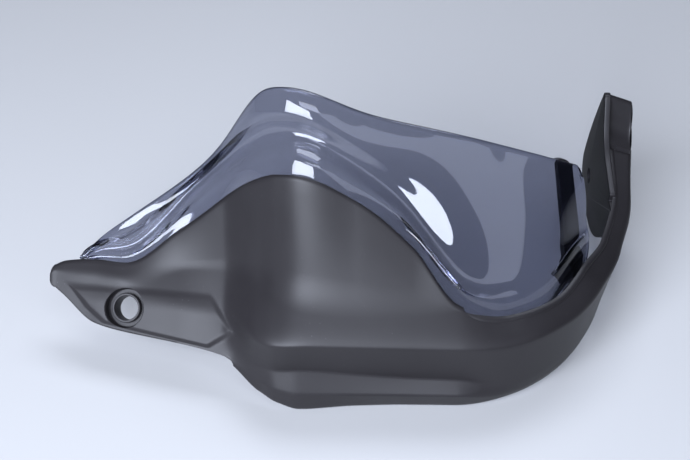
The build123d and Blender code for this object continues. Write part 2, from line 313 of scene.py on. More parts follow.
def half_round(first, second, out, steps=EDGE_STEPS):
    """Half ellipse from the first points to the second, standing out by the vector out."""
    angle = (np.arange(1, steps + 1) / (steps + 1) * math.pi)[None, :, None]
    middle = (first + second)[:, None] / 2
    return middle + np.cos(angle) * (first - second)[:, None] / 2 + np.sin(angle) * out[:, None]


def wall_rings(front, back, up, down):
    """Closed rings round a wall: front, top edge, back and lower edge.

    The edges are half ellipses that stand out by the vectors up and down.
    """
    return np.concatenate([
        front,
        half_round(front[:, -1], back[:, -1], up),
        back[:, ::-1],
        half_round(back[:, 0], front[:, 0], down),
    ], axis=1)


# Path and shell stations

def on_path(length):
    """Points of the path in plan and the outward directions there: straight, arc, straight."""
    length = np.asarray(length, float)
    turn = np.clip((length - BEND_START) / BEND_RADIUS, 0, BEND_TURN)
    past = np.maximum(length - BEND_START - BEND_LENGTH, 0)
    x = np.minimum(length, BEND_START) + BEND_RADIUS * np.sin(turn) + past * np.cos(turn)
    y = -BEAM_REACH + BEND_RADIUS * (1 - np.cos(turn)) + past * np.sin(turn)
    return np.stack([x, y], axis=-1), np.stack([np.sin(turn), -np.cos(turn)], axis=-1)


def in_space(length, points):
    """Section points (outward, height) at path lengths, as points in space."""
    spot, out = on_path(length)
    while spot.ndim < points.ndim:
        spot, out = spot[..., None, :], out[..., None, :]
    plan = spot + points[..., :1] * out
    return np.concatenate([plan, points[..., 1:]], axis=-1)


def on_slope(share):
    """Path length at a share of the way from the hump's peak to the bend."""
    return HUMP_X + share * (BEND_START - HUMP_X)


def on_bend(share):
    """Path length at a share of the bend."""
    return BEND_START + share * BEND_LENGTH


def on_arm(share):
    """Path length at a share of the straight arm."""
    return BEND_START + BEND_LENGTH + share * ARM_LENGTH


def hump_height(share):
    """Height at a share of the way from the crease to the top of the hump."""
    return CREASE_RISE + share * (HUMP_RISE - CREASE_RISE)


def on_tab(x, climb, behind=0.0):
    """Outward offset and height of a point of the leaning tab, climb up its slope and behind its face."""
    lift = MOUNT_DEPTH - TAB_PROUD - behind
    y = -TAB_SKEW * x + climb * math.sin(TAB_LEAN) - lift * math.cos(TAB_LEAN)
    return (-BEAM_REACH - y, climb * math.cos(TAB_LEAN) + lift * math.sin(TAB_LEAN))


def tab_section(x, low, face, top):
    """Tab section: lower edge, bevel, lower crease, upper crease, and a top edge that rolls back."""
    return [
        on_tab(x, -low),
        on_tab(x, -low + TAB_BEVEL),
        on_tab(x, -low + TAB_BEVEL_END),
        on_tab(x, face),
        on_tab(x, face + TAB_ROLL_START * (top - face)),
        on_tab(x, top, TAB_ROLL * (top - face)),
    ]


def flank_section(x, low, crease, edge):
    """Tab section whose top edge is lifted into the flank of the hump."""
    return tab_section(x, low, TAB_FACE_RISE, TAB_RISE)[:4] + [crease, edge]


def neck_section(back, lift, groove, crease, edge):
    """Neck section: the beam set back, with its foot lifted and its groove fading, towards the tab."""
    return [
        (-back, lift - FOOT_DROP),
        (-back, lift / 3 - STRIP_DROP),
        (-back - groove, -GROOVE_DROP + 1),
        (1 - back, RIDGE_RISE - lift / 2),
        crease,
        edge,
    ]


def beam_section(foot, fall, crease, edge):
    """Beam section: foot, strip, groove, ridge, crease and edge."""
    return [
        (-foot, -FOOT_DROP),
        (0, -STRIP_DROP),
        (-GROOVE_DEPTH, -GROOVE_DROP - fall),
        (0, RIDGE_RISE - fall / 4),
        crease,
        edge,
    ]


def bend_section(foot, ridge, edge):
    """Section in the bend: foot, ridge and edge, with the groove fading into the strip."""
    return [
        foot,
        (foot[0] + 2, foot[1] + 5),
        (foot[0] + 2.5, foot[1] + 10),
        ridge,
        (edge[0] + 2, edge[1]),
        edge,
    ]


def arm_section(ridge_out, drop, rise, lap=0.0):
    """Arm section: outer wall, and the top band that runs in to the blade and laps into its wall."""
    edge = (ridge_out - ARM_WIDTH - lap, rise)
    return bend_section((-ARM_DRAFT, -drop), (ridge_out, rise - ARM_CROWN), edge)


SLOPE_HIGH = on_slope(0.36)
SLOPE_LOW = on_slope(0.71)
CREASE = (-CREASE_BACK, CREASE_RISE)
# Path length, section points, and the radii of the four inner corners
STATIONS = [
    (-TAB_TIP, tab_section(-TAB_TIP, -3, 9.6, 12), (1.0, 1.0, 1.0, 1.0)),
    (-30, tab_section(-30, 1.5, 8, 16.5), (1.5, 2.0, 2.5, 3.0)),
    (-15, tab_section(-15, TAB_DROP - 1.3, TAB_FACE_RISE, TAB_RISE - 1.5), (1.5, 2.5, 3.0, 5.0)),
    (0, tab_section(0, TAB_DROP, TAB_FACE_RISE, TAB_RISE), (1.5, 2.5, 3.0, 5.0)),
    (HUMP_X - 55, flank_section(HUMP_X - 55, TAB_DROP, (-48, 16), (-58, hump_height(0.1))),
     (1.5, 2.5, 4.0, 2.5)),
    (HUMP_X - 35, flank_section(HUMP_X - 35, TAB_DROP + 1.2, (-45, 20), (-58, hump_height(0.47))),
     (1.5, 2.5, 4.0, 3.5)),
    (HUMP_X - 18, neck_section(7, 4.3, 2, (-CREASE_BACK - 17, CREASE_RISE - 1), (-50, hump_height(0.84))),
     (1.2, 2.5, 3.5, 6.0)),
    (HUMP_X - 10, neck_section(2, 2.6, 4, (-CREASE_BACK - 10, CREASE_RISE), (-46, hump_height(0.95))),
     (1.2, 2.5, 3.5, 9.0)),
    (HUMP_X, beam_section(0.5, -2, (-CREASE_BACK - 3, CREASE_RISE + 1), (-HUMP_BACK, HUMP_RISE)),
     (1.2, 2.5, 3.5, 9.0)),
    (SLOPE_HIGH, beam_section(3, 0, CREASE, (4 - HUMP_BACK, hump_height(0.78))), (1.2, 2.5, 3.5, 8.0)),
    (SLOPE_LOW, beam_section(4, 2, (1 - CREASE_BACK, CREASE_RISE - 1.5), (-30, hump_height(0.39))),
     (1.2, 2.5, 3.5, 6.0)),
    (BEND_START, beam_section(4, 3, (3 - CREASE_BACK, CREASE_RISE - 4), (1 - CREASE_BACK, CREASE_RISE - 2)),
     (1.2, 2.5, 3.5, 1.5)),
    (on_bend(0.26), bend_section((-5, -26.5), (-1, RIDGE_RISE - 2), (-15, 17)), (3.0, 4.0, 5.0, 1.2)),
    (on_bend(0.51), bend_section((-6, -24), (-2, RIDGE_RISE - 2), (-14, 17.5)), (3.0, 4.0, 5.0, 1.2)),
    (on_bend(0.77), bend_section((-7, -20), (-2, RIDGE_RISE), (-15, 21)), (3.0, 4.0, 4.0, 1.2)),
    (on_bend(1.0), bend_section((-7, -16), (1, RIDGE_RISE + 2), (-11, 21)), (3.0, 4.0, 3.5, 1.2)),
    (on_arm(0.42), arm_section(4, ARM_DROP, ARM_RISE), (3.0, 4.0, 3.0, 1.2)),
    (on_arm(0.75), arm_section(2, ARM_DROP - 2, 0.4 * ARM_RISE + 0.6 * TIP_RISE, 1.0), (3.0, 4.0, 2.5, 1.2)),
    (on_arm(1.0), arm_section(1, ARM_DROP - 4, TIP_RISE, 3.0), (3.0, 4.0, 2.5, 1.2)),
]
STATION_LENGTHS = np.array([length for length, _, _ in STATIONS], float)
STATION_POINTS = np.array([points for _, points, _ in STATIONS], float)
STATION_RADII = np.array([radii for _, _, radii in STATIONS], float)


def straight_station(length):
    """Section points at a path length, on the straight line between the two stations around it."""
    place = int(interval(STATION_LENGTHS, length))
    low, high = STATION_LENGTHS[place:place + 2]
    share = (length - low) / (high - low)
    return STATION_POINTS[place] * (1 - share) + STATION_POINTS[place + 1] * share


# Meshes

def in_scene(name, data):
    """New object that holds the data, linked to the scene."""
    holder = bpy.data.objects.new(name, data)
    bpy.context.scene.collection.objects.link(holder)
    return holder


def piece_from(name, vertices, faces):
    """Object at the origin with these vertices, given in millimetres, and its normals turned outward."""
    mesh = bpy.data.meshes.new(name)
    mesh.from_pydata((np.asarray(vertices) * METRES).tolist(), [], faces)
    built = bmesh.new()
    built.from_mesh(mesh)
    bmesh.ops.recalc_face_normals(built, faces=built.faces)
    built.to_mesh(mesh)
    built.free()
    return in_scene(name, mesh)


def ring_faces(rows, columns):
    """Quads of a grid of rows, each of which closes on itself."""
    row, column = np.meshgrid(np.arange(rows - 1), np.arange(columns), indexing="ij")
    next_row, next_column = row + 1, (column + 1) % columns
    corners = [
        row * columns + column,
        next_row * columns + column,
        next_row * columns + next_column,
        row * columns + next_column,
    ]
    return np.stack([corner.ravel() for corner in corners], axis=1).tolist()


def closed_tube(name, rings):
    """Rows of closed rings joined to a tube, with both ends closed to a point at the ring's middle."""
    rows, columns = rings.shape[:2]
    poles = np.stack([rings[0].mean(axis=0), rings[-1].mean(axis=0)])
    faces = ring_faces(rows, columns)
    column = np.arange(columns)
    following = (column + 1) % columns
    last = (rows - 1) * columns
    pole = rows * columns
    faces += np.stack([np.full(columns, pole), following, column], axis=1).tolist()
    faces += np.stack([np.full(columns, pole + 1), last + column, last + following], axis=1).tolist()
    return piece_from(name, np.concatenate([rings.reshape(-1, 3), poles]), faces)


NOSE_STEPS = 4


def nosed(rings, ways, nose, middles=None):
    """Rings with a rounded nose at both ends: each end ring shrinks as a quarter ellipse, nose long.

    Ways are the unit directions in which the first and the last nose point. An end ring
    shrinks to its own mean, or to its row of middles where those are given.
    """
    angle = np.linspace(0, math.pi / 2, NOSE_STEPS + 2)[1:-1, None, None]
    noses = []
    for end, way in zip((0, -1), ways):
        middle = rings[end].mean(axis=0) if middles is None else middles[end]
        shrunk = middle + np.cos(angle) * (rings[end] - middle)
        noses.append(shrunk + nose * np.sin(angle) * np.asarray(way))
    return np.concatenate([noses[0][::-1], rings, noses[1]])


def turned(name, origin, axis, profile, steps=64):
    """Solid of revolution: the profile of (radius, height) carried round the axis, with flat ends."""
    axis = unit(axis)
    across = unit(np.cross(axis, (0.0, 0.0, 1.0)))
    along = np.cross(axis, across)
    profile = np.asarray(profile, float)
    angle = np.linspace(0, 2 * math.pi, steps, endpoint=False)
    spoke = np.cos(angle)[:, None] * across + np.sin(angle)[:, None] * along
    rings = (
        np.asarray(origin)
        + profile[:, 0, None, None] * spoke[None]
        + profile[:, 1, None, None] * axis
    )
    return closed_tube(name, rings)


def plate(name, outline, to_space, thickness, edge):
    """Flat plate: a closed outline at two depths, its rim rounded over the edge radius.

    The outline is drawn in by the edge radius on both faces, along its own normals, and
    to_space places (u, v, depth) in space.
    """
    ahead = np.roll(outline, -1, axis=0) - np.roll(outline, 1, axis=0)
    area = np.sum(outline[:, 0] * np.roll(outline[:, 1], -1) - np.roll(outline[:, 0], -1) * outline[:, 1])
    inward = unit(np.stack([-ahead[:, 1], ahead[:, 0]], axis=1)) * np.sign(area)
    angle = np.linspace(0, math.pi / 2, 5)
    draw = edge * (1 - np.sin(angle))
    depth = edge * (1 - np.cos(angle))
    draws = np.concatenate([draw, draw[::-1]])
    depths = np.concatenate([depth, thickness - depth[::-1]])
    flat = outline[None] + draws[:, None, None] * inward[None]
    deep = np.broadcast_to(depths[:, None, None], flat.shape[:2] + (1,))
    rings = to_space(np.concatenate([flat, deep], axis=2))
    rows, columns = rings.shape[:2]
    faces = ring_faces(rows, columns)
    faces += [list(range(columns)), list(range((rows - 1) * columns, rows * columns))]
    return piece_from(name, rings.reshape(-1, 3), faces)


def fused(base, added, cutters):
    """The base joined with the added solids and cut by the cutters, as one closed mesh."""
    for operation, pieces in (("UNION", added), ("DIFFERENCE", cutters)):
        group = bpy.data.collections.new(base.name + operation)
        bpy.context.scene.collection.children.link(group)
        for piece in pieces:
            bpy.context.scene.collection.objects.unlink(piece)
            group.objects.link(piece)
        step = base.modifiers.new(operation, "BOOLEAN")
        step.operation = operation
        step.solver = "MANIFOLD"
        step.operand_type = "COLLECTION"
        step.collection = group
    shaped = base.evaluated_get(bpy.context.evaluated_depsgraph_get())
    mesh = bpy.data.meshes.new_from_object(shaped)
    base.modifiers.clear()
    base.data = mesh
    for piece in added + cutters:
        bpy.data.objects.remove(piece)
    return base


SHARP_ANGLE = math.radians(35.0)


def finish_piece(piece, material, node):
    """Smooth shading that breaks at sharp edges, the material, and the ties to the frame."""
    piece.data.shade_smooth()
    piece.data.set_sharp_from_angle(angle=SHARP_ANGLE)
    piece.data.materials.clear()
    piece.data.materials.append(material)
    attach(piece, "root")
    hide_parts(node)


# Guard body

TAB_NORMAL = unit((-TAB_SKEW * math.cos(TAB_LEAN), -math.cos(TAB_LEAN), math.sin(TAB_LEAN)))
# Corners of the raised face of the tab: place along X, climb up the slope, and half the width of the
# slope along the side that starts there
PLATEAU = np.array([
    (-25.0, 4.5, 1.6),
    (-18.0, -3.0, 1.4),
    (-9.5, -8.6, 1.0),
    (12.0, -9.0, 1.0),
    (38.5, -9.8, 1.0),
    (50.0, -0.8, 1.2),
    (40.5, 11.0, 3.5),
    (-3.0, 6.4, 6.0),
])


def raise_plateau(points):
    """Moves points of the tab's outer face out along its normal, inside the plateau's outline.

    The rise is a smooth step of the least distance to the lines that the outline's sides lie
    on, each distance counted in that side's own slope widths.
    """
    climb = points[..., 1] * math.sin(TAB_LEAN) + points[..., 2] * math.cos(TAB_LEAN)
    climb = climb + TAB_SKEW * points[..., 0] * math.sin(TAB_LEAN)
    corners, slope = PLATEAU[:, :2], PLATEAU[:, 2]
    side = np.roll(corners, -1, axis=0) - corners
    inward = unit(np.stack([-side[:, 1], side[:, 0]], axis=1))
    spot = np.stack([points[..., 0], climb], axis=-1)
    inside = ((spot[..., None, :] - corners) * inward).sum(axis=-1) / slope
    share = np.clip((inside.min(axis=-1) + 1) / 2, 0, 1)
    return points + (TAB_PROUD * share ** 2 * (3 - 2 * share))[..., None] * TAB_NORMAL


# Path lengths where the softening of the hump, and the beam's own corner radii, begin, are full, and end
HUMP_SPAN = (HUMP_X - 22, HUMP_X - 8, HUMP_X + 12, HUMP_X + 30)
BEAM_SPAN = (HUMP_X - 35, HUMP_X - 10, on_bend(1.0), on_arm(0.4))


def within(span, lengths):
    """Share that rises from nought to one and falls back over the four path lengths of a span."""
    return np.interp(lengths, span, (0.0, 1.0, 1.0, 0.0))


def soften_hump(points, lengths):
    """Ridge and crease points averaged along the path near the hump's top, by a bell of width HUMP_SOFT."""
    step = lengths[1] - lengths[0]
    reach = int(3 * HUMP_SOFT / step)
    bell = np.exp(-0.5 * (np.arange(-reach, reach + 1) * step / HUMP_SOFT) ** 2)
    padded = np.pad(points[:, 3:5], ((reach, reach), (0, 0), (0, 0)), mode="edge")
    windows = np.lib.stride_tricks.sliding_window_view(padded, len(bell), axis=0)
    near = within(HUMP_SPAN, lengths)[:, None, None]
    soft = points.copy()
    soft[:, 3:5] += near * (windows @ (bell / bell.sum()) - points[:, 3:5])
    return soft


# Points on the five straights of the outer line, from the foot to the edge
OUTER_STEPS = (3, 3, 14, 10, 6)
SHELL_ROWS = 400


def shell_rings(lengths):
    """Closed section rings of the shell: outer line, rolled edge, inner line and rounded foot."""
    points = soften_hump(steady_through(STATION_LENGTHS, STATION_POINTS, lengths), lengths)
    radii = steady_through(STATION_LENGTHS, STATION_RADII, lengths)
    beam = within(BEAM_SPAN, lengths)
    radii = np.stack([radii, radii], axis=-1)
    radii[:, 1] *= 1 - CORNER_TIGHT * beam[:, None]
    radii[:, 2, 0] *= 1 - CORNER_TIGHT * beam
    radii[:, 2, 1] *= 1 + RIDGE_NOSE * beam
    outer_points = trimmed(points, EDGE_ROLL)
    inner_points = trimmed(shifted(points, WALL), EDGE_ROLL)
    outer = rounded_line(outer_points, radii, straight_steps=OUTER_STEPS)
    inner = rounded_line(inner_points, radii, corner_steps=5, straight_steps=2)
    up = EDGE_ROLL * unit(outer_points[:, -1] - outer_points[:, -2])
    down = EDGE_ROLL * unit(outer_points[:, 0] - outer_points[:, 1])
    rings = in_space(lengths, wall_rings(outer, inner, up, down))
    outside = outer.shape[1]
    rings[:, :outside] = raise_plateau(rings[:, :outside])
    return rings


def make_shell():
    """Shell: the section rings carried along the path, with a rounded nose at both ends."""
    lengths = np.linspace(-TAB_TIP + NOSE, on_arm(1.0) - 1, SHELL_ROWS)
    rings = shell_rings(lengths)
    heading = np.array((math.cos(BEND_TURN), math.sin(BEND_TURN), 0.0))
    return closed_tube("guard_shell", nosed(rings, ((-1.0, 0.0, 0.0), heading), NOSE))


ARM_TIP = on_path(on_arm(1.0))[0]
BLADE_X = ARM_TIP[0] - BLADE_INSET
FLANGE_Y = ARM_TIP[1] + FLANGE_SET
SCOOP_Y = FLANGE_Y - SCOOP_REACH
END_Y = SCOOP_Y + END_WALL_RUN


def make_blade():
    """Blade: a plate across X. Its outline runs from the flange round the nose, along the rim and back."""
    front = rounded_line(np.array([[
        (FLANGE_Y, -FLANGE_RADIUS),
        (FLANGE_Y - BLADE_LOW_REACH, -BLADE_LOW),
        (FLANGE_Y - BLADE_REACH, 4.0),
        (FLANGE_Y - BLADE_REACH, ARM_RISE - 2.5),
        (FLANGE_Y - RIM_REACH, ARM_RISE - 2.0),
        (FLANGE_Y - RIM_REACH, ARM_RISE + RIM_PROUD),
        (SCOOP_Y, TIP_RISE),
        (END_Y, END_WALL_RISE),
        (END_Y + END_WALL, END_WALL_RISE),
    ]]), np.array([[14.0, 8.0, 2.0, 0.5, 1.2, 12.0, 1.2]]), straight_steps=8)[0]
    shoulder = np.array((FLANGE_Y, 0.0)) + FLANGE_SHOULDER
    rear = through_middle((END_Y + END_WALL, END_WALL_RISE), shoulder, (FLANGE_Y + FLANGE_RADIUS, 0.0), 30)
    angle = np.linspace(0, -math.pi / 2, 24)
    flange = np.stack([FLANGE_Y + FLANGE_RADIUS * np.cos(angle), FLANGE_RADIUS * np.sin(angle)], axis=1)
    outline = np.concatenate([front, rear[1:], flange[1:-1]])

    def across(points):
        """Outline points (y, z) at a depth outboard of the blade's inner face."""
        return np.stack([BLADE_X + points[..., 2], points[..., 0], points[..., 1]], axis=-1)

    return plate("blade", outline, across, BLADE_WALL, 0.7)


def make_end_wall():
    """End wall: a scooped wall section carried outboard from the blade, falling a little as it goes."""
    across = np.linspace(BLADE_WALL / 2, ARM_WIDTH + BLADE_WALL - END_NOSE, 12)
    middle_y = SCOOP_Y + END_WALL_RUN / 2 + SCOOP_WAY[0] * SCOOP_DEPTH
    rings = []
    for place in across:
        fall = END_WALL_FALL * (place - BLADE_WALL / 2) / (ARM_WIDTH + BLADE_WALL / 2)
        low = TIP_RISE - END_WALL / 2 - fall
        top = END_WALL_RISE - fall
        middle_z = (low + top) / 2 + SCOOP_WAY[1] * SCOOP_DEPTH
        front = through_middle(
            (SCOOP_Y, low + END_WALL), (middle_y, middle_z + END_WALL / 2), (END_Y, top - 1), 20)
        rear = through_middle(
            (END_Y + END_WALL, top - 1), (middle_y + 2.2, middle_z), (SCOOP_Y, low), 20)
        roll = half_round(front[-1:], rear[:1], np.array([(0.3, 1.0)]), 5)[0]
        ring = np.concatenate([front, roll, rear])
        rings.append(np.concatenate([np.full((len(ring), 1), BLADE_X + place), ring], axis=1))
    return closed_tube("end_wall", nosed(np.array(rings), ((-1.0, 0.0, 0.0), (1.0, 0.0, 0.0)), END_NOSE))


def round_bar(name, origin, axis, radius, low, high, edge=0.5):
    """Round bar along the axis, with both rims broken by the edge radius."""
    return turned(name, origin, axis, [
        (radius - edge, low), (radius, low + edge), (radius, high - edge), (radius - edge, high)])


def fixing_frame(length):
    """Inner face of the hump at a screen fixing, and the direction to the back there."""
    def on_hump(at):
        """Point of the hump's face a fixing depth below its edge, and the way up from there."""
        crease, edge = straight_station(at)[4:]
        spots = in_space(np.array(at), np.stack([edge + FIXING_DEPTH * unit(crease - edge), edge]))
        return spots[0], spots[1] - spots[0]
    spot, up = on_hump(length)
    along = on_hump(length + FIXING_DEPTH)[0] - on_hump(length - FIXING_DEPTH)[0]
    back = unit(np.cross(up, along))
    return spot + back * WALL, back


FIXINGS = [fixing_frame(length) for length in FIXING_STATIONS]


def make_rib(length):
    """Web across the hollow of the beam: the inner section line closed on itself, one rib wall thick."""
    line = shifted(straight_station(length)[None], 0.6 * WALL)[0, :5]
    outline = rounded_outline(line, RIB_CORNER)

    def along(points):
        """Outline points (outward, height) at a depth along the path."""
        spots = in_space(np.full(points.shape[:-1], length), points[..., :2])
        spots[..., 0] += points[..., 2] - RIB_WALL / 2
        return spots

    return plate(f"rib_{length:.0f}", outline, along, RIB_WALL, 0.4)


def make_body(material):
    """Guard body: shell, blade, end wall, lug, ribs, bosses and seats in one, with its bores cut."""
    shell = make_shell()
    bar_end = np.array((BLADE_X, FLANGE_Y, 0.0))
    outboard = (1.0, 0.0, 0.0)
    added = [make_blade(), make_end_wall(), make_lug()]
    added += [make_rib(length) for length in RIB_STATIONS]
    added.append(round_bar("mount_boss", (0, 0, 0), TAB_NORMAL, MOUNT_BOSS / 2,
                           MOUNT_DEPTH - MOUNT_BOSS_DEPTH, 0.0))
    added.append(round_bar("bar_boss", bar_end, outboard, BAR_BOSS / 2, 1.0, BLADE_WALL + BAR_BOSS_DEPTH))
    cutters = []
    boss_end = SEAT_DEPTH + PAD_DEPTH - 0.2
    for number, (spot, back) in enumerate(FIXINGS):
        added.append(round_bar(
            f"seat_{number}", spot, back, SEAT_DIAMETER / 2, -WALL / 2, SEAT_DEPTH, BOSS_EDGE))
        added.append(round_bar(f"boss_{number}", spot, back, BOSS_DIAMETER / 2, 0.0, boss_end, BOSS_EDGE))
        cutters.append(round_bar(
            f"pilot_{number}", spot, back, PILOT_DIAMETER / 2, boss_end - PILOT_DEPTH, CUT_PAST))
    bore, collar, seat = MOUNT_BORE / 2, MOUNT_COLLAR / 2, MOUNT_COUNTERBORE / 2
    rim = HOLE_BREAK / 2
    cutters.append(turned("mount_cut", (0, 0, 0), TAB_NORMAL, [
        (bore, -CUT_PAST),
        (bore, -HOLE_BREAK),
        (bore + rim, 0.0),
        (collar - rim, 0.0),
        (collar, -rim),
        (collar, -MOUNT_RING_DEPTH),
        (seat - 2 * rim, -MOUNT_RING_DEPTH),
        (seat, -MOUNT_RING_DEPTH + 2 * rim),
        (seat, MOUNT_DEPTH - rim),
        (seat + rim, MOUNT_DEPTH),
        (seat + HOLE_BREAK, MOUNT_DEPTH + HOLE_BREAK),
        (seat + HOLE_BREAK, MOUNT_DEPTH + 3.0),
    ], 96))
    cutters.append(round_bar("bar_cut", bar_end, outboard, BAR_BORE / 2, -CUT_PAST / 2, CUT_PAST))
    body = fused(shell, added, cutters)
    finish_piece(body, material, "guard_body")


# Wind screen

def beside(share):
    """Place of the top edge along X beside the bend, at a share of the bend's radius."""
    return BEND_START + share * BEND_RADIUS


def screen_section(length, below, flange, roll, rise, top_x, set_back, height):
    """Six points in space up the front of the screen, from the flange by the lip to the top edge.

    With them come the outward direction in plan and the points in their own upright plane. The
    flange follows the shell's wall below its edge, from the section point numbered by below, or
    hangs upright where below is None. Roll and rise are shares of the shoulder. The top edge
    lies set_back behind SCREEN_Y, and height is its share of the way from end to peak.
    """
    points = straight_station(length)
    edge = points[5]
    up, behind = np.array((0.0, 1.0)), SCREEN_GAP
    if below is not None:
        up = unit(edge - points[below])
        behind = WALL + (TAB_GAP if below == 3 else SCREEN_GAP)
    foot = edge + behind * np.array((-up[1], up[0]))
    base = in_space(np.array(length), foot)
    away = np.array((top_x, SCREEN_Y + set_back)) - base[:2]
    out = -unit(away)
    back, step, low = roll * SHOULDER_BACK, rise * SHOULDER_RISE, foot[1]
    lip = np.array((-back, low + step))
    top_edge = np.array((
        -np.linalg.norm(away), SCREEN_END_RISE + height * (SCREEN_RISE - SCREEN_END_RISE)))
    middle = (lip + top_edge) / 2
    front = np.array([
        (-flange * up[0], low - flange * up[1]),
        (0.3 * step * up[0], low + 0.3 * step * up[1]),
        (-0.45 * back, low + 0.8 * step),
        lip,
        (middle[0] + roll * PANEL_BOW, middle[1]),
        top_edge,
    ])
    plan = base[:2] + front[:, :1] * out
    return np.concatenate([plan, front[:, 1:]], axis=1), out, front


# Arguments of screen_section, from the screen's inner end to its outer end
SCREEN_STATIONS = [
    (-23.5, 3, 1, 0.05, 0.1, -23.5, -9, -1.22),
    (-17, 3, 2, 0.25, 0.3, -17, -6.5, -1.06),
    (0, 3, 3.5, 0.5, 0.6, 0, -4.5, -0.72),
    (HUMP_X - 55, 4, 13, 0.8, 0.9, HUMP_X - 55, 8, -0.375),
    (HUMP_X - 35, 4, FLANGE_DEPTH, 1, 1, HUMP_X - 35, 11, 0.16),
    (HUMP_X - 18, 4, FLANGE_DEPTH, 1, 1, HUMP_X - 18, 6, 0.86),
    (HUMP_X - 10, 4, FLANGE_DEPTH, 1, 1, HUMP_X - 10, 2.5, 0.98),
    (HUMP_X, 4, FLANGE_DEPTH, 1, 1, HUMP_X, 0, 1.0),
    (SLOPE_HIGH, 4, FLANGE_DEPTH, 0.8, 0.9, SLOPE_HIGH, -2, 0.77),
    (SLOPE_LOW, 4, FLANGE_DEPTH - 4, 0.7, 1, SLOPE_LOW, -3, 0.6),
    (BEND_START, 4, TAIL_FLANGE, 0.6, 1.2, BEND_START, -4, 0.49),
    (on_bend(0.26), None, TAIL_FLANGE, 0.5, 1.2, beside(0.25), -4, 0.35),
    (on_bend(0.51), None, TAIL_FLANGE, 0.4, 1.2, beside(0.45), -4, 0.23),
    (on_bend(0.77), None, TAIL_FLANGE, 0.3, 1.2, beside(0.62), -2, 0.09),
    (on_bend(0.92), None, TAIL_FLANGE, 0.2, 1.2, beside(0.71), 0, 0),
]


def screen_front():
    """Grid of points on the front of the screen, from end to end and from the flange to the top edge.

    Along the guard each of the six section points follows a natural spline through the stations.
    Across, another natural spline joins the six. The outer top corner is drawn down to a round.
    """
    knots = np.array([station[0] for station in SCREEN_STATIONS], float)
    points = np.array([screen_section(*station)[0] for station in SCREEN_STATIONS])
    ends = np.array((knots[0] + SCREEN_WALL / 2, knots[-1] - SCREEN_WALL / 2))
    lengths = np.linspace(ends[0], ends[1], SCREEN_ROWS)
    rails = smooth_through(knots, points, lengths).transpose(1, 0, 2)
    to_end = np.minimum(ends[1] - lengths, SCREEN_CORNER) / SCREEN_CORNER
    corner = 1 - SCREEN_CORNER_DROP * (1 - np.sqrt(1 - (1 - to_end) ** 2))
    shares = np.linspace(0, 1, SCREEN_COLUMNS)
    across = smooth_through(SCREEN_MARKS, rails, shares).transpose(1, 0, 2)
    row = np.arange(SCREEN_ROWS)
    top = smooth_through(SCREEN_MARKS, rails, corner)[row, row]
    fade = np.clip((shares - SCREEN_DROP_START) / (1 - SCREEN_DROP_START), 0, 1)
    return across - (across[:, -1] - top)[:, None] * fade[None, :, None]


def screen_rings(front):
    """Closed rings round the screen, with a round nose at both ends.

    The back is the front moved by the wall, against the normal that points to the front.
    """
    half = SCREEN_WALL / 2
    normal = unit(np.cross(np.gradient(front, axis=0), np.gradient(front, axis=1)))
    back = front - normal * SCREEN_WALL
    middle = (front + back) / 2
    up = half * unit(front[:, -1] - front[:, -3])
    down = half * unit(front[:, 0] - front[:, 2])
    ways = [unit((middle[end] - middle[inner]).mean(axis=0)) for end, inner in ((0, 1), (-1, -2))]
    middles = wall_rings(middle, middle, 0 * up, 0 * down)
    return nosed(wall_rings(front, back, up, down), ways, half, middles)


def make_screen(material):
    """Wind screen: the sheet, with the fixing pads joined on and room cut for the seats and bosses."""
    pads, cuts = [], []
    pad_end = SEAT_DEPTH + PAD_DEPTH
    seat_room = SEAT_DIAMETER / 2 + BOSS_CLEARANCE
    boss_room = BOSS_DIAMETER / 2 + BOSS_CLEARANCE
    sheet = closed_tube("wind_screen_sheet", screen_rings(screen_front()))
    for number, (spot, back) in enumerate(FIXINGS):
        pads.append(round_bar(f"pad_{number}", spot, back, PAD_DIAMETER / 2, SEAT_DEPTH, pad_end, 0.4))
        for name, radius, low, high in (
            ("spot", SPOT_DIAMETER / 2, pad_end, pad_end + SPOT_DEPTH),
            ("seat_room", seat_room, -SEAT_DIAMETER, SEAT_DEPTH),
            ("boss_room", boss_room, 0.0, pad_end + 1.0),
        ):
            cuts.append(round_bar(f"{name}_{number}", spot, back, radius, low, high, 0.1))
    screen = fused(sheet, pads, cuts)
    finish_piece(screen, material, "wind_screen")


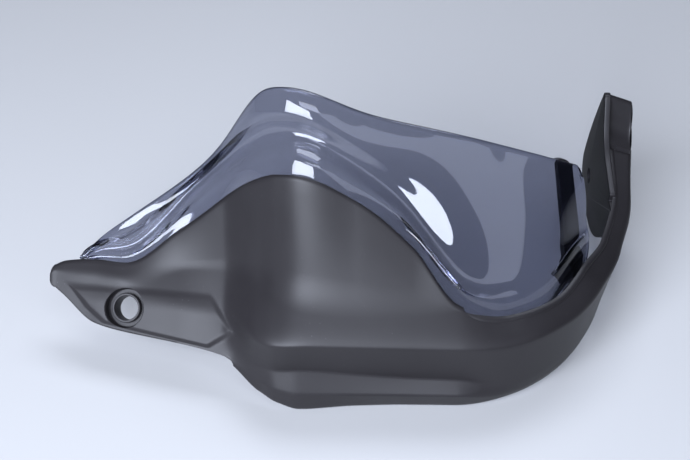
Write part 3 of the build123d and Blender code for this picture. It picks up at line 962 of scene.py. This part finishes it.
def make_lug():
    """Lug behind the outer end of the screen: an upright line one wall thick, carried inboard."""
    spots, out, front = screen_section(on_bend(0.85), None, TAIL_FLANGE, 0.25, 1.2, beside(0.67), -1, 0.05)
    foot, lip, top_edge = front[0], front[3], front[5]
    rise = unit(top_edge - lip)
    upright = shifted(np.array([[foot, lip, top_edge + LUG_PROUD * rise]]), SCREEN_WALL + LUG_GAP)[0]
    floor = foot[1] - LUG_CLEARANCE
    line = np.array([[(LUG_REACH, floor), (upright[0, 0], floor), upright[1], upright[2]]])
    outer = rounded_line(line, np.full((1, 2), LUG_BENDS[0]), 7, 6)
    inner = rounded_line(shifted(line, WALL), np.full((1, 2), LUG_BENDS[1]), 7, 6)
    base = spots[0, :2] - front[0, 0] * out
    inboard = np.array((out[1], -out[0]))
    widths = np.linspace(LUG_NOSE, LUG_WIDTH - LUG_NOSE, 14)
    height = outer[0, :, 1]
    rings = []
    for width in widths:
        short = LUG_ROUND - math.sqrt(max(LUG_ROUND ** 2 - max(LUG_ROUND - width, 0.0) ** 2, 0.0))
        lower = short * np.clip((height - height.max() + 2 * LUG_ROUND) / (2 * LUG_ROUND), 0, 1)
        lines = [side[0] - lower[:, None] * rise for side in (outer, inner)]
        ring = np.concatenate([lines[0], lines[1][::-1]])
        plan = base + ring[:, :1] * out + width * inboard
        rings.append(np.concatenate([plan, ring[:, 1:]], axis=1))
    way = np.append(inboard, 0.0)
    return closed_tube("lug", nosed(np.array(rings), (-way, way), LUG_NOSE))


# Materials

BLACK = (0.0, 0.0, 0.0)
# Length along X over which the painted shade on the faces that look inboard, at the blade, fades in
PAINTED_SHADE_FADE = 25.0


def shader_group(name, vectors, numbers, results):
    """Empty node group with vector inputs, number inputs and number results, and the sockets inside it."""
    tree = bpy.data.node_groups.new(name, "ShaderNodeTree")
    for label in vectors:
        tree.interface.new_socket(label, in_out="INPUT", socket_type="NodeSocketVector")
    for label, value in numbers.items():
        socket = tree.interface.new_socket(label, in_out="INPUT", socket_type="NodeSocketFloat")
        socket.default_value = value
    for label in results:
        tree.interface.new_socket(label, in_out="OUTPUT", socket_type="NodeSocketFloat")
    return tree, tree.nodes.new("NodeGroupInput").outputs, tree.nodes.new("NodeGroupOutput").inputs


def link(tree, pairs):
    """Joins each output socket to its input socket."""
    for source, target in pairs:
        tree.links.new(source, target)


def filled(node, values):
    """The node, with these values in its inputs."""
    for label, value in values.items():
        node.inputs[label].default_value = value
    return node


def noise(tree, scale, detail, roughness=0.5):
    """Noise texture with these settings."""
    return filled(tree.nodes.new("ShaderNodeTexNoise"),
                  {"Scale": scale, "Detail": detail, "Roughness": roughness})


def spread(tree, low, high, to_low, to_high):
    """Map Range from low..high to to_low..to_high, clamped."""
    return filled(tree.nodes.new("ShaderNodeMapRange"), {1: low, 2: high, 3: to_low, 4: to_high})


def product(tree):
    """Math node that multiplies its first two inputs."""
    node = tree.nodes.new("ShaderNodeMath")
    node.operation = "MULTIPLY"
    return node


def surface_grain():
    """Group: fine raised grain of a moulded or rolled surface, and its slow change of tone."""
    tree, start, end = shader_group("surface_grain", ["Vector"], {"Scale": 2200.0}, ["Height", "Tone"])
    fine = noise(tree, 2200.0, 3.0, 0.6)
    broad = noise(tree, 28.0, 4.0)
    range_node = spread(tree, 0.3, 0.7, 0.0, 1.0)
    link(tree, [
        (start["Vector"], fine.inputs["Vector"]),
        (start["Scale"], fine.inputs["Scale"]),
        (start["Vector"], broad.inputs["Vector"]),
        (broad.outputs["Fac"], range_node.inputs[0]),
        (fine.outputs["Fac"], end["Height"]),
        (range_node.outputs[0], end["Tone"]),
    ])
    return tree


def fine_dust():
    """Group: mask of sparse dust specks, larger than nought where a speck lies."""
    tree, start, end = shader_group("fine_dust", ["Vector"], {"Scale": 420.0}, ["Mask"])
    cells = tree.nodes.new("ShaderNodeTexVoronoi")
    specks = spread(tree, 0.05, 0.12, 1.0, 0.0)
    patches = noise(tree, 55.0, 2.0)
    where = spread(tree, 0.5, 0.7, 0.0, 1.0)
    both = product(tree)
    link(tree, [
        (start["Vector"], cells.inputs["Vector"]),
        (start["Scale"], cells.inputs["Scale"]),
        (start["Vector"], patches.inputs["Vector"]),
        (cells.outputs["Distance"], specks.inputs[0]),
        (patches.outputs["Fac"], where.inputs[0]),
        (specks.outputs[0], both.inputs[0]),
        (where.outputs[0], both.inputs[1]),
        (both.outputs[0], end["Mask"]),
    ])
    return tree


def painted_shade_side():
    """Group: mask of painted shade on the faces that look inboard, rising along X from From to To."""
    tree, start, end = shader_group("painted_shade_side", ["Vector", "Normal"], {"From": 0.0, "To": 1.0}, ["Mask"])
    place = tree.nodes.new("ShaderNodeSeparateXYZ")
    facing = tree.nodes.new("ShaderNodeSeparateXYZ")
    beyond = spread(tree, 0.0, 1.0, 0.0, 1.0)
    inboard = spread(tree, -0.9, -0.5, 1.0, 0.0)
    both = product(tree)
    link(tree, [
        (start["Vector"], place.inputs[0]),
        (start["Normal"], facing.inputs[0]),
        (place.outputs["X"], beyond.inputs[0]),
        (start["From"], beyond.inputs[1]),
        (start["To"], beyond.inputs[2]),
        (facing.outputs["X"], inboard.inputs[0]),
        (beyond.outputs[0], both.inputs[0]),
        (inboard.outputs[0], both.inputs[1]),
        (both.outputs[0], end["Mask"]),
    ])
    return tree


def new_material(name):
    """Material with its Principled shader and the outputs of its coordinate node."""
    material = bpy.data.materials.new(name)
    material.use_nodes = True
    tree = material.node_tree
    return material, tree, tree.nodes["Principled BSDF"], tree.nodes.new("ShaderNodeTexCoord").outputs


def placed(tree, group, place, values):
    """Copy of a shader node group in a material, fed with object coordinates and these values."""
    node = tree.nodes.new("ShaderNodeGroup")
    node.node_tree = group
    tree.links.new(place["Object"], node.inputs["Vector"])
    return filled(node, values)


def blended(tree, low, high):
    """Colour mix from low to high; the factor is input 0."""
    node = tree.nodes.new("ShaderNodeMix")
    node.data_type = "RGBA"
    return filled(node, {6: low + (1.0,), 7: high + (1.0,)})


def grained(tree, shader, texture, rough, strength, distance):
    """Gives the shader the grain's roughness range, and a bump of this strength and depth in metres.

    Returns the node that puts out the roughness.
    """
    sheen = spread(tree, 0.0, 1.0, *rough)
    bump = filled(tree.nodes.new("ShaderNodeBump"), {"Strength": strength, "Distance": distance})
    link(tree, [
        (texture.outputs["Tone"], sheen.inputs[0]),
        (sheen.outputs[0], shader.inputs["Roughness"]),
        (texture.outputs["Height"], bump.inputs["Height"]),
        (bump.outputs["Normal"], shader.inputs["Normal"]),
    ])
    return sheen


def moulded_plastic(grain, dust):
    """Dark grey moulded plastic: fine grain, a soft sheen, a few dust specks and painted shade on the faces
    that look inboard.

    The painted shade stands in for the shadow inside the blade: rougher, near black, and set metallic so
    that it mirrors little of the floor.
    """
    material, tree, shader, place = new_material("moulded_plastic")
    texture = placed(tree, grain, place, {"Scale": 2400.0})
    specks = placed(tree, dust, place, {"Scale": 420.0})
    tone = blended(tree, (0.0125, 0.0113, 0.0127), (0.0160, 0.0146, 0.0162))
    dusty = blended(tree, BLACK, (0.16, 0.16, 0.17))
    share = spread(tree, 0.0, 1.0, 0.0, 0.3)
    # Painted shade: faces that look inboard near the blade are made near black, metallic and rougher,
    # standing in for the shadow that falls inside the blade
    inner = placed(tree, painted_shade_side(), place, {
        "From": (BLADE_X - PAINTED_SHADE_FADE) * METRES, "To": (BLADE_X - BLADE_WALL) * METRES})
    # Near-black colour of the painted shade inside the blade
    painted_shade_colour = blended(tree, BLACK, (0.008, 0.0075, 0.0083))
    sheen = grained(tree, shader, texture, (0.41, 0.47), 0.35, 0.0001)
    painted_shade_roughness = spread(tree, 0.0, 1.0, 0.41, 0.6)
    filled(shader, {"Specular IOR Level": 0.29})
    link(tree, [
        (texture.outputs["Tone"], tone.inputs[0]),
        (specks.outputs["Mask"], share.inputs[0]),
        (share.outputs[0], dusty.inputs[0]),
        (tone.outputs[2], dusty.inputs[6]),
        (place["Normal"], inner.inputs["Normal"]),
        (inner.outputs["Mask"], painted_shade_colour.inputs[0]),
        (dusty.outputs[2], painted_shade_colour.inputs[6]),
        (painted_shade_colour.outputs[2], shader.inputs["Base Color"]),
        (inner.outputs["Mask"], shader.inputs["Metallic"]),
        (inner.outputs["Mask"], painted_shade_roughness.inputs[0]),
        (sheen.outputs[0], painted_shade_roughness.inputs[3]),
        (painted_shade_roughness.outputs[0], shader.inputs["Roughness"]),
    ])
    return material


def smoked_plastic(dust):
    """Smoked clear plastic: glossy, tinted blue grey, and letting tinted light through its shadow."""
    material, tree, shader, place = new_material("smoked_plastic")
    specks = placed(tree, dust, place, {"Scale": 300.0})
    gloss = spread(tree, 0.0, 1.0, 0.025, 0.16)
    filled(shader, {"Base Color": (0.295, 0.31, 0.395, 1.0), "Transmission Weight": 1.0, "IOR": 1.49})
    clear = filled(tree.nodes.new("ShaderNodeBsdfTransparent"), {"Color": (0.30, 0.32, 0.38, 1.0)})
    ray = tree.nodes.new("ShaderNodeLightPath")
    mix = tree.nodes.new("ShaderNodeMixShader")
    output = tree.nodes["Material Output"]
    link(tree, [
        (specks.outputs["Mask"], gloss.inputs[0]),
        (gloss.outputs[0], shader.inputs["Roughness"]),
        (ray.outputs["Is Shadow Ray"], mix.inputs[0]),
        (shader.outputs[0], mix.inputs[1]),
        (clear.outputs[0], mix.inputs[2]),
        (mix.outputs[0], output.inputs["Surface"]),
    ])
    return material


def plated_steel(grain):
    """Zinc plated steel of the screws and washers, with a fine grain."""
    material, tree, shader, place = new_material("plated_steel")
    texture = placed(tree, grain, place, {"Scale": 1500.0})
    tone = blended(tree, (0.46, 0.46, 0.47), (0.62, 0.62, 0.60))
    filled(shader, {"Metallic": 1.0})
    grained(tree, shader, texture, (0.28, 0.42), 0.15, 0.00005)
    link(tree, [
        (texture.outputs["Tone"], tone.inputs[0]),
        (tone.outputs[2], shader.inputs["Base Color"]),
    ])
    return material


def pale_floor():
    """Plain grey of the floor, which the light makes pale."""
    material, _, shader, _ = new_material("pale_floor")
    filled(shader, {"Base Color": (0.418, 0.418, 0.418, 1.0), "Roughness": 0.6})
    return material


# Stage, light and camera

FLOOR_SIZE = 6000.0


def make_floor():
    """Floor just below the foot of the beam, one large quad."""
    edge = FLOOR_SIZE / 2
    low = -FOOT_DROP - EDGE_ROLL / 2
    corners = [(-edge, -edge, low), (edge, -edge, low), (edge, edge, low), (-edge, edge, low)]
    floor = piece_from("floor", corners, [[0, 1, 2, 3]])
    floor.data.materials.append(pale_floor())


LIGHT_MIDDLE = (100.0, 20.0, 20.0)
LIGHT_REACH = 1200.0
LIGHT_COLOUR = (0.80, 0.86, 1.0)


def soft_light(name, azimuth, elevation, size, power):
    """Rectangular light on a sphere round the guard, turned to its middle.

    Azimuth and elevation are degrees: azimuth 0 is the front, and 90 the outboard side.
    """
    azimuth, elevation = math.radians(azimuth), math.radians(elevation)
    way = Vector((
        math.sin(azimuth) * math.cos(elevation),
        -math.cos(azimuth) * math.cos(elevation),
        math.sin(elevation),
    ))
    lamp = bpy.data.lights.new(name, "AREA")
    lamp.shape = "RECTANGLE"
    lamp.size, lamp.size_y = (side * METRES for side in size)
    lamp.energy = power
    lamp.color = LIGHT_COLOUR
    holder = in_scene(name, lamp)
    holder.location = (Vector(LIGHT_MIDDLE) + LIGHT_REACH * way) * METRES
    holder.rotation_euler = (-way).to_track_quat("-Z", "Y").to_euler()


def make_light():
    """Soft studio light: a large box in front, a strip outboard, one high, a box behind, and pale air."""
    soft_light("front_box", -26, 31, (850.0, 850.0), 42.0)
    soft_light("right_strip", 36, 34, (400.0, 800.0), 2.0)
    soft_light("high_strip", 6, 58, (560.0, 220.0), 2.6)
    soft_light("back_box", 165, 66, (800.0, 500.0), 10.0)
    world = bpy.data.worlds.new("studio_air")
    world.use_nodes = True
    filled(world.node_tree.nodes["Background"], {"Color": (0.62, 0.67, 0.78, 1.0), "Strength": 0.03})
    bpy.context.scene.world = world
    bpy.context.scene.view_settings.view_transform = "Standard"


CAMERA_PLACE = (100.0, -426.6, 398.0)
CAMERA_LOOK_DOWN = math.radians(39.4)
CAMERA_ROLL = math.radians(0.6)
FOCAL_PIXELS = 1270.0
FRAME_PIXELS = 690.0
SENSOR = 36.0


def make_camera():
    """Camera at the photograph's viewing angle."""
    lens = bpy.data.cameras.new("camera")
    lens.sensor_width = SENSOR
    lens.lens = SENSOR * FOCAL_PIXELS / FRAME_PIXELS
    lens.clip_start = 0.01
    holder = in_scene("camera", lens)
    turn = Matrix.Rotation(math.pi / 2 - CAMERA_LOOK_DOWN, 3, "X") @ Matrix.Rotation(CAMERA_ROLL, 3, "Z")
    holder.rotation_euler = turn.to_euler()
    holder.location = Vector(CAMERA_PLACE) * METRES
    bpy.context.scene.camera = holder


def dress_fixings(material):
    """The screws and washers keep their own shape and take the plated finish."""
    for node in ("screen_screws", "screen_washers"):
        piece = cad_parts[node]
        piece.data.materials.clear()
        piece.data.materials.append(material)


grain = surface_grain()
dust = fine_dust()
make_body(moulded_plastic(grain, dust))
make_screen(smoked_plastic(dust))
dress_fixings(plated_steel(grain))
make_floor()
make_light()
make_camera()
